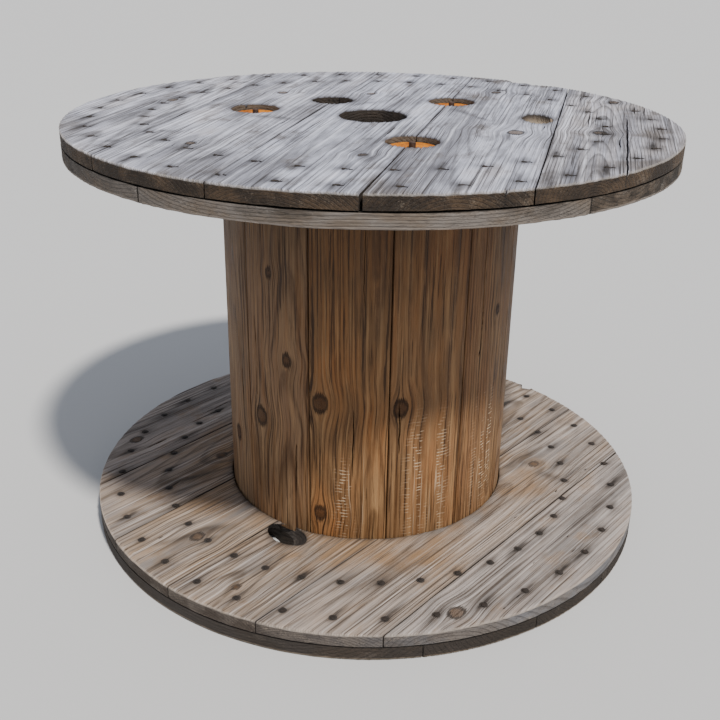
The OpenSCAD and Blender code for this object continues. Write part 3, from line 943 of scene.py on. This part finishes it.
def woodFinish(name):
    look = woods[name]
    f = Finish(name)
    grain = f.attribute("grain", "Vector")
    ring = f.attribute("ring", "Fac")
    knot, crack, stain = f.split("marks")
    edge, side, fresh = f.split("wear")
    tone, ends, extra = f.split("tone")
    isStave = name == "staveWood"
    part = f.math("FRACT", ring)
    late = f.step(part, 0.5, 0.8) * (1 - f.step(part, 0.85, 0.97))
    fibre = f.noise(grain, (16, 720, 720), 4, 0.65)
    hair = f.noise(grain, (4.5, 450, 450), 3, 0.55, 7.0)
    groove = f.noise(grain, look["grooveScale"], 4, 0.6, 47.0)
    streak = f.noise(grain, look["streakScale"], 5, 0.64, 3.0)
    patch = f.noise(grain, (5, 15, 15), 4, 0.6, 11.0)
    blotch = f.noise(grain, (22, 60, 60), 5, 0.65, 17.0)
    cloud = f.noise(grain, (14, 24, 24), 6, 0.68, 59.0)
    speckle = f.noise(grain, (420, 700, 700), 4, 0.75, 23.0)
    # weathered face: broad patches, then streaks, rings and fibres
    colour = f.mix(f.step(patch, 0.38, 0.62), look["grey"], look["base"])
    colour = f.mix(f.step(patch, 0.53, 0.70) * look["brownAmount"], colour, look["brown"])
    colour = f.mix(tone * f.step(streak + patch, 0.7, 1.15) * look["filmAmount"], colour, look["film"])
    colour = f.mix(f.step(streak, 0.50, 0.70) * look["paleAmount"], colour, look["pale"])
    colour = f.mix(f.step(streak, 0.45, 0.28) * look["streakAmount"], colour, look["late"])
    colour = f.mix(f.step(cloud, 0.52, 0.70) * look["cloudAmount"], colour, look["dirt"])
    if not isStave:
        smear = f.noise(grain, (6, 46, 46), 5, 0.66, 53.0)
        dirt = f.step(extra * (0.2 + 1.7 * smear), 0.3, 1.0)
        colour = f.mix(dirt * look["dirtAmount"], colour, look["dirt"])
    lateAmount = look["lateAmount"] * (1.0 if isStave else 0.6 + 0.6 * tone)
    colour = f.mix(late * f.step(blotch, 0.2, 0.55) * lateAmount, colour, look["late"])
    colour = f.mix(f.step(fibre, 0.55, 0.78) * 0.5, colour, look["pale"])
    colour = f.mix(f.step(fibre, 0.46, 0.28) * 0.75, colour, look["late"])
    colour = f.mix(f.step(groove, 0.57, 0.66) * 0.4, colour, look["pale"])
    deep = f.step(groove, look["grooveTop"], look["grooveTop"] - 0.045)
    colour = f.mix(deep * look["grooveAmount"], colour, look["line"])
    colour = f.mix(f.step(hair, 0.42, 0.34) * 0.85, colour, look["line"])
    # sides, end grain and worn edges
    sideColour = f.mix(ends, look["side"], look["ends"])
    sideColour = f.mix(f.step(cloud, 0.42, 0.62) * 0.75, sideColour, look["warm"])
    sideColour = f.mix(f.step(patch, 0.5, 0.36) * 0.6, sideColour, look["ends"])
    sideColour = f.mix(f.step(speckle * 0.5 + blotch * 0.5, 0.52, 0.68) * 0.6, sideColour, look["chip"])
    sideColour = f.mix(f.step(fibre, 0.47, 0.30) * 0.65, sideColour, look["stain"])
    sideColour = f.mix(late * 0.35, sideColour, look["stain"])
    colour = f.mix(f.step(side, 0.2, 0.8), colour, sideColour)
    colour = f.mix(f.step(edge * (0.5 + blotch), 0.35, 0.8) * 0.55, colour, look["edge"])
    # pale bare wood on recess and cable hole walls; its brightness is partly painted light on the top cable
    # hole's shaded wall
    colour = f.mix(fresh * (0.7 + blotch * 0.6), colour, (0.85, 0.68, 0.49))
    # knots have a dark ring round a brown heart
    colour = f.mix(f.step(knot, 0.35, 0.95) * (0.55 + 0.5 * blotch), colour, look["knot"])
    colour = f.mix(f.step(knot * (1 - knot) * 4, 0.25, 0.9) * 0.75, colour, look["line"])
    if isStave:
        along = f.node("ShaderNodeSeparateXYZ", {}, {0: grain})
        rows = f.math("FRACT", along * 240 + f.noise(grain, (25, 60, 60), 2, 0.5, 37.0) * 1.2)
        columns = f.step(f.noise(grain, (5, 55, 55), 2, 0.5, 43.0), 0.47, 0.57)
        broken = f.step(f.noise(grain, (120, 110, 110), 3, 0.6, 31.0), 0.44, 0.58)
        bars = f.step(rows, 0.66, 0.82) * columns * broken
        lines = f.step(f.noise(grain, (9, 330, 330), 2, 0.5, 41.0), 0.62, 0.69)
        colour = f.mix(extra * f.math("MAXIMUM", bars * 0.85, lines * 0.4), colour, (0.72, 0.56, 0.38))
    # stains and cracks; on the staves the stain channel is painted shade, darker towards the top of the
    # barrel
    colour = f.mix(f.math("MINIMUM", stain * (0.55 + 0.8 * blotch), 0.94), colour, look["stain"])
    colour = f.mix(f.step(crack, 0.15, 0.7), colour, (0.010, 0.008, 0.007))
    rough = look["rough"] + 0.2 * (fibre - 0.5) - 0.1 * late
    height = fibre * 0.5 + f.step(groove, 0.34, 0.5) * 0.4 + hair * 0.4 - late * 0.3 + speckle * 0.25 * side
    return f.surface(colour, rough, height, 0.9, 0.0014, **{"Specular IOR Level": 0.25})


def rustFinish(name, look):
    f = Finish(name)
    at = f.node("ShaderNodeTexCoord", {}, {}, "Object")
    broad = f.noise(at, (70,) * 3, 5, 0.6)
    fine = f.noise(at, (520,) * 3, 6, 0.7, 5.0)
    pits = f.node("ShaderNodeTexVoronoi", {}, {"Vector": at, "Scale": 900.0})
    colour = f.node("ShaderNodeValToRGB", {"stops": look["ramp"]}, {0: broad * 0.6 + fine * 0.5 - 0.05})
    colour = f.mix(f.step(fine, 0.45, 0.3) * 0.6, colour, look["dark"])
    colour = f.mix(f.step(broad, look["bare"], look["bare"] + 0.12) * 0.7, colour, look["steel"])
    rough = 0.62 + 0.3 * fine
    height = fine * 0.8 + f.step(pits, 0.0, 0.35) * 0.5
    metal = f.step(broad, look["bare"], look["bare"] + 0.12) * 0.6
    return f.surface(colour, rough, height, 0.8, 0.0006, **{"Metallic": metal, "Specular IOR Level": 0.4})


metals = {
    "rustedSteel": {
        "ramp": [(0.28, (0.09, 0.024, 0.001)), (0.44, (0.34, 0.09, 0.0)), (0.60, (0.60, 0.20, 0.0)),
                 (0.8, (0.42, 0.17, 0.02))],
        "dark": (0.08, 0.026, 0.006), "steel": (0.4, 0.2, 0.07), "bare": 0.74,
    },
    "darkSteel": {
        "ramp": [(0.3, (0.02, 0.014, 0.011)), (0.55, (0.06, 0.032, 0.02)), (0.8, (0.16, 0.065, 0.02))],
        "dark": (0.012, 0.01, 0.009), "steel": (0.10, 0.09, 0.08), "bare": 0.6,
    },
    "nailSteel": {
        "ramp": [(0.3, (0.008, 0.007, 0.006)), (0.55, (0.022, 0.015, 0.011)), (0.8, (0.06, 0.032, 0.018))],
        "dark": (0.01, 0.008, 0.008), "steel": (0.09, 0.085, 0.08), "bare": 0.64,
    },
}
finishes = {name: woodFinish(name) for name in woods}
finishes.update({name: rustFinish(name, look) for name, look in metals.items()})
for node, board in boards.items():
    layer = layers[node.rsplit("_", 1)[0] + "_"]
    board.data.materials.append(finishes[layer["wood"]])
for stave in stavePieces:
    stave.data.materials.append(finishes["staveWood"])
print("finishes made:", len(finishes))


# Turned and threaded steel
def steelPiece(name, rings, faces, sharpDeg, material):
    mesh = bpy.data.meshes.new(name)
    mesh.from_pydata((np.vstack(rings) * mm).tolist(), [], faces)
    mesh.polygons.foreach_set("use_smooth", [True] * len(mesh.polygons))
    mesh.set_sharp_from_angle(angle=math.radians(sharpDeg))
    mesh.materials.append(material)
    return addObject(name, mesh)


def closedRings(name, rings, material):
    # joins rings of the same number of points into one closed skin, from the first to the last
    count = len(rings[0])
    faces = [[count - 1 - n for n in range(count)]]
    for row in range(len(rings) - 1):
        for n in range(count):
            a, b = row * count + n, row * count + (n + 1) % count
            faces.append([a, b, b + count, a + count])
    faces.append([(len(rings) - 1) * count + n for n in range(count)])
    return steelPiece(name, rings, faces, meshing["rodSharpDeg"], material)


def middleOf(node):
    # a standing node's axis, bottom, top and radius
    low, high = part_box(node)
    x, y = [(low[n] + high[n]) / 2 / mm for n in range(2)]
    return x, y, low[2] / mm, high[2] / mm, (high[0] - low[0]) / 2 / mm


tieRod = {"radius": 3.95, "thread": 0.5, "pitch": 1.25, "threaded": 24.0, "headFlats": 13.0,
          "headHigh": 5.3, "sides": 24}


def makeRod(number):
    cx, cy, bottom, top, _ = middleOf(f"tie_rod_{number}")
    turn = np.arange(tieRod["sides"]) * 2 * math.pi / tieRod["sides"]

    def ring(z, radius):
        x, y = cx + radius * np.cos(turn), cy + radius * np.sin(turn)
        return np.column_stack([x, y, np.full(len(turn), z)])

    def hexRing(z, keep):
        wide = tieRod["headFlats"] / 2 / np.cos(np.mod(turn, math.pi / 3) - math.pi / 6)
        return ring(z, np.minimum(wide, tieRod["headFlats"] / 2 * keep))

    headTop = bottom + tieRod["headHigh"]
    rings = [hexRing(bottom, 0.93), hexRing(bottom + 0.5, 1.04), hexRing(bottom + 1.0, 1.2),
             hexRing(headTop - 0.6, 1.2), hexRing(headTop, 1.03), ring(headTop, tieRod["radius"]),
             ring(top - tieRod["threaded"], tieRod["radius"])]
    for z in np.arange(top - tieRod["threaded"] + 0.3, top - 0.9, tieRod["pitch"] / 5):
        wave = np.abs(np.mod(z / tieRod["pitch"] - turn / (2 * math.pi), 1) * 2 - 1)
        rings.append(ring(z, tieRod["radius"] - tieRod["thread"] * wave))
    rings += [ring(top - 0.8, tieRod["radius"] - 0.5), ring(top, tieRod["radius"] - 1.1)]
    rod = closedRings(f"tieRod{number}", rings, finishes["darkSteel"])
    standIn(rod, f"tie_rod_{number}")


discs = {"sides": 72, "edge": 0.5, "hole": 4.4, "pits": 0.22}


def makeDisc(node, name, seed):
    # a rusted disc with a rolled edge, closed through its hole
    cx, cy, bottom, top, radius = middleOf(node)
    turn = np.arange(discs["sides"]) * 2 * math.pi / discs["sides"]
    edge, hole = discs["edge"], discs["hole"]
    spans = list(np.linspace(hole + 0.5, radius - edge * 1.4, 14))
    profile = [(hole, bottom + 0.3)] + [(r, bottom) for r in spans]
    profile += [(radius - edge * 0.4, bottom + edge * 0.4), (radius, bottom + edge * 1.4)]
    profile += [(radius, top - edge * 1.6), (radius - edge * 0.4, top - edge * 0.5)]
    profile += [(r, top) for r in spans[::-1]] + [(hole, top - 0.4)]
    rows = []
    for r, z in profile:
        x, y = cx + r * np.cos(turn), cy + r * np.sin(turn)
        pits = discs["pits"] * (0.5 + 0.5 * softNoise(x / 2.6, y / 2.6, z, seed))
        pits = pits + 0.25 * smooth(0.25, 0.9, softNoise(x / 7, y / 7, z, seed + 1))
        inward = -pits if z > (bottom + top) / 2 else pits * 0.5
        rows.append(np.column_stack([x, y, z + inward]))
    count, faces = discs["sides"], []
    for row in range(len(rows)):
        nextRow = (row + 1) % len(rows)
        for n in range(count):
            m = (n + 1) % count
            faces.append([row * count + m, nextRow * count + m, nextRow * count + n, row * count + n])
    piece = steelPiece(name, rows, faces, meshing["discSharpDeg"], finishes["rustedSteel"])
    standIn(piece, node)


for n in (1, 2, 3):
    makeRod(n)
    makeDisc(f"plate_nut_{n}", f"plateNut{n}", 300 + n)
    makeDisc(f"washer_{n}", f"baseWasher{n}", 310 + n)
print("steel made")


# Nails: one clinched nail, set out round each ring by geometry nodes
nail = {"shank": 1.65, "head": 2.95, "headHigh": 1.2, "legLong": 7.4, "legWide": 1.45, "legHigh": 2.1,
        "sides": 10, "turnSpreadDeg": 34, "sizeSpread": 0.14}


def makeNail(name, headZ, legZ):
    # a domed head at headZ and a leg bent over at legZ, along x
    up = 1 if legZ > headZ else -1
    sides, head, shank = nail["sides"], nail["head"], nail["shank"]
    angle = np.arange(sides) * math.pi / (sides / 2)
    circle = np.column_stack([np.cos(angle), np.sin(angle)])

    def flat(z, radius):
        return np.column_stack([circle * radius, np.full(sides, z)])

    rings = [flat(headZ, head * 0.55), flat(headZ + 0.28 * up, head * 0.88), flat(headZ + 0.55 * up, head),
             flat(headZ + nail["headHigh"] * up, head * 0.92),
             flat(headZ + (nail["headHigh"] + 0.1) * up, shank)]
    half = up * nail["legHigh"] / 2
    rings.append(flat(legZ - half - up * 1.6, shank))
    for along, wide, high in ((0.0, 1.0, 1.0), (0.35, 1.0, 0.95), (0.7, 0.8, 0.85), (1.0, 0.4, 0.5)):
        x = np.full(sides, -1.2 + along * nail["legLong"])
        z = legZ - half * (1 - high) - half * high * (1 + circle[:, 0])
        rings.append(np.column_stack([x, circle[:, 1] * nail["legWide"] * wide, z]))
    rings = rings if up > 0 else [ring[::-1] for ring in rings]
    return closedRings(name, rings, finishes["nailSteel"])


def nailTree(material):
    tree = bpy.data.node_groups.new("nailRing", "GeometryNodeTree")
    face = tree.interface
    face.new_socket("Geometry", in_out="OUTPUT", socket_type="NodeSocketGeometry")
    ids = {}
    kinds = {"Nail": "Object", "Count": "Int", "Ring radius": "Float", "First angle": "Float",
             "Leg angle": "Float", "Turn spread": "Float", "Size spread": "Float", "Seed": "Int"}
    for label, kind in kinds.items():
        ids[label] = face.new_socket(label, in_out="INPUT", socket_type="NodeSocket" + kind).identifier
    nodes, links = tree.nodes, tree.links
    given = nodes.new("NodeGroupInput")

    def add(kind, settings=None, sockets=None):
        made = nodes.new(kind)
        for key, value in (settings or {}).items():
            setattr(made, key, value)
        for key, value in (sockets or {}).items():
            if isinstance(value, bpy.types.NodeSocket):
                links.new(value, made.inputs[key])
            else:
                made.inputs[key].default_value = value
        return made

    def sum2(operation, a, b):
        return add("ShaderNodeMath", {"operation": operation}, {0: a, 1: b}).outputs[0]

    index = add("GeometryNodeInputIndex").outputs[0]
    share = sum2("DIVIDE", sum2("MULTIPLY", index, 2 * math.pi), given.outputs["Count"])
    angle = sum2("ADD", share, given.outputs["First angle"])
    place = add("ShaderNodeCombineXYZ", None, {
        0: sum2("MULTIPLY", sum2("COSINE", angle, 0.0), given.outputs["Ring radius"]),
        1: sum2("MULTIPLY", sum2("SINE", angle, 0.0), given.outputs["Ring radius"])})
    spots = add("GeometryNodePoints", None, {"Count": given.outputs["Count"], "Position": place.outputs[0]})
    spread = given.outputs["Turn spread"]
    wander = add("FunctionNodeRandomValue", {"data_type": "FLOAT"}, {
        2: sum2("MULTIPLY", spread, -1.0), 3: spread, "Seed": given.outputs["Seed"]})
    heading = sum2("ADD", given.outputs["Leg angle"], wander.outputs[1])
    turned = add("ShaderNodeCombineXYZ", None, {2: heading})
    rotation = add("FunctionNodeEulerToRotation", None, {0: turned.outputs[0]})
    least = sum2("SUBTRACT", 1.0, given.outputs["Size spread"])
    size = add("FunctionNodeRandomValue", {"data_type": "FLOAT"}, {
        2: least, 3: 1.0, "Seed": sum2("ADD", given.outputs["Seed"], 1.0)})
    scale = add("ShaderNodeCombineXYZ", None, {0: size.outputs[1], 1: size.outputs[1], 2: 1.0})
    shape = add("GeometryNodeObjectInfo", None, {"Object": given.outputs["Nail"]})
    placed = add("GeometryNodeInstanceOnPoints", None, {
        "Points": spots.outputs[0], "Instance": shape.outputs["Geometry"], "Rotation": rotation.outputs[0],
        "Scale": scale.outputs[0]})
    real = add("GeometryNodeRealizeInstances", None, {0: placed.outputs[0]})
    finished = add("GeometryNodeSetMaterial", None, {"Geometry": real.outputs[0], "Material": material})
    add("NodeGroupOutput", None, {0: finished.outputs[0]})
    return tree, ids


def nailRing(node, name, shape, radius, legDeg, seed):
    carrier = addObject(name + "Carrier", bpy.data.meshes.new(name + "Carrier"))
    modifier = carrier.modifiers.new("Nails", "NODES")
    modifier.node_group = tree
    values = {"Nail": shape, "Count": nailRings["count"], "Ring radius": radius * mm,
              "First angle": math.radians(nailRings["firstDeg"]), "Leg angle": math.radians(legDeg),
              "Turn spread": math.radians(nail["turnSpreadDeg"]), "Size spread": nail["sizeSpread"],
              "Seed": seed}
    for label, value in values.items():
        modifier[ids[label]] = value
    mesh = bpy.data.meshes.new_from_object(carrier.evaluated_get(bpy.context.evaluated_depsgraph_get()))
    bpy.data.objects.remove(carrier)
    mesh.name = name
    standIn(addObject(name, mesh), node)


tree, ids = nailTree(finishes["nailSteel"])
for flange, layer, seed in (("top", "top_outer_board_", 20), ("bottom", "bottom_outer_board_", 0)):
    low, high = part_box(f"{flange}_nails_outer_ring")
    headZ, legZ = (low[2], high[2]) if flange == "top" else (high[2], low[2])
    pattern = makeNail(flange + "Nail", headZ / mm, legZ / mm)
    legDeg = layers[layer]["direction"] - 90
    for ringName, radius, ringSeed in zip(("outer", "inner"), nailRings["radii"], (5, 8)):
        node, name = f"{flange}_nails_{ringName}_ring", f"{flange}Nails{ringName.capitalize()}"
        nailRing(node, name, pattern, radius, legDeg, ringSeed + seed)
    bpy.data.objects.remove(pattern)
print("nails made")


# Camera, light and floor
view = {"place": (0.0, -1.1656, 0.7177), "downDeg": 23.93, "rollDeg": 1.07, "lens": 48.93,
        "shift": (-0.0118, -0.0131)}
down, roll = math.radians(view["downDeg"]), math.radians(view["rollDeg"])
right, up = (1, 0, 0), (0, math.sin(down), math.cos(down))
cameraX = [math.cos(roll) * a + math.sin(roll) * b for a, b in zip(right, up)]
cameraY = [math.cos(roll) * b - math.sin(roll) * a for a, b in zip(right, up)]
backward = (0, -math.cos(down), math.sin(down))
cameraData = bpy.data.cameras.new("camera")
cameraData.lens, cameraData.sensor_width = view["lens"], 36.0
cameraData.shift_x, cameraData.shift_y = view["shift"]
cameraData.clip_start = 0.02
camera = addObject("camera", cameraData)
rows = [list(row) for row in zip(cameraX, cameraY, backward, view["place"])]
camera.matrix_world = Matrix(rows + [[0, 0, 0, 1]])
bpy.context.scene.camera = camera

studio = {"towards": (0.27, -0.443, 0.855), "softDeg": 5.0, "power": 5.0, "colour": (1.0, 0.96, 0.90),
          "fill": (0.82, 0.88, 1.0), "fillStrength": 0.6, "floor": (0.52, 0.52, 0.52), "floorHalf": 30}
lamp = bpy.data.lights.new("keyLight", "SUN")
lamp.angle, lamp.energy, lamp.color = math.radians(studio["softDeg"]), studio["power"], studio["colour"]
key = addObject("keyLight", lamp)
towards = Vector(studio["towards"]).normalized()
key.matrix_world = Matrix.Translation(towards * 4) @ towards.to_track_quat("Z", "Y").to_matrix().to_4x4()
world = bpy.data.worlds.new("studio")
world.use_nodes = True
world.node_tree.nodes["Background"].inputs[0].default_value = (*studio["fill"], 1)
world.node_tree.nodes["Background"].inputs[1].default_value = studio["fillStrength"]
bpy.context.scene.world = world

floorMesh = bpy.data.meshes.new("floor")
half = studio["floorHalf"]
corners = [(-half, -half, 0), (half, -half, 0), (half, half, 0), (-half, half, 0)]
floorMesh.from_pydata(corners, [], [(0, 1, 2, 3)])
floor = addObject("floor", floorMesh)
paint = Finish("floorPaint")
cloud = paint.noise(paint.node("ShaderNodeTexCoord", {}, {}, "Object"), (3.0,) * 3, 3, 0.5)
tint = paint.mix(cloud * 0.3, studio["floor"], [c * 0.94 for c in studio["floor"]])
floorMesh.materials.append(paint.surface(tint, 0.85 + cloud * 0.05, cloud, 0.02, 0.001))
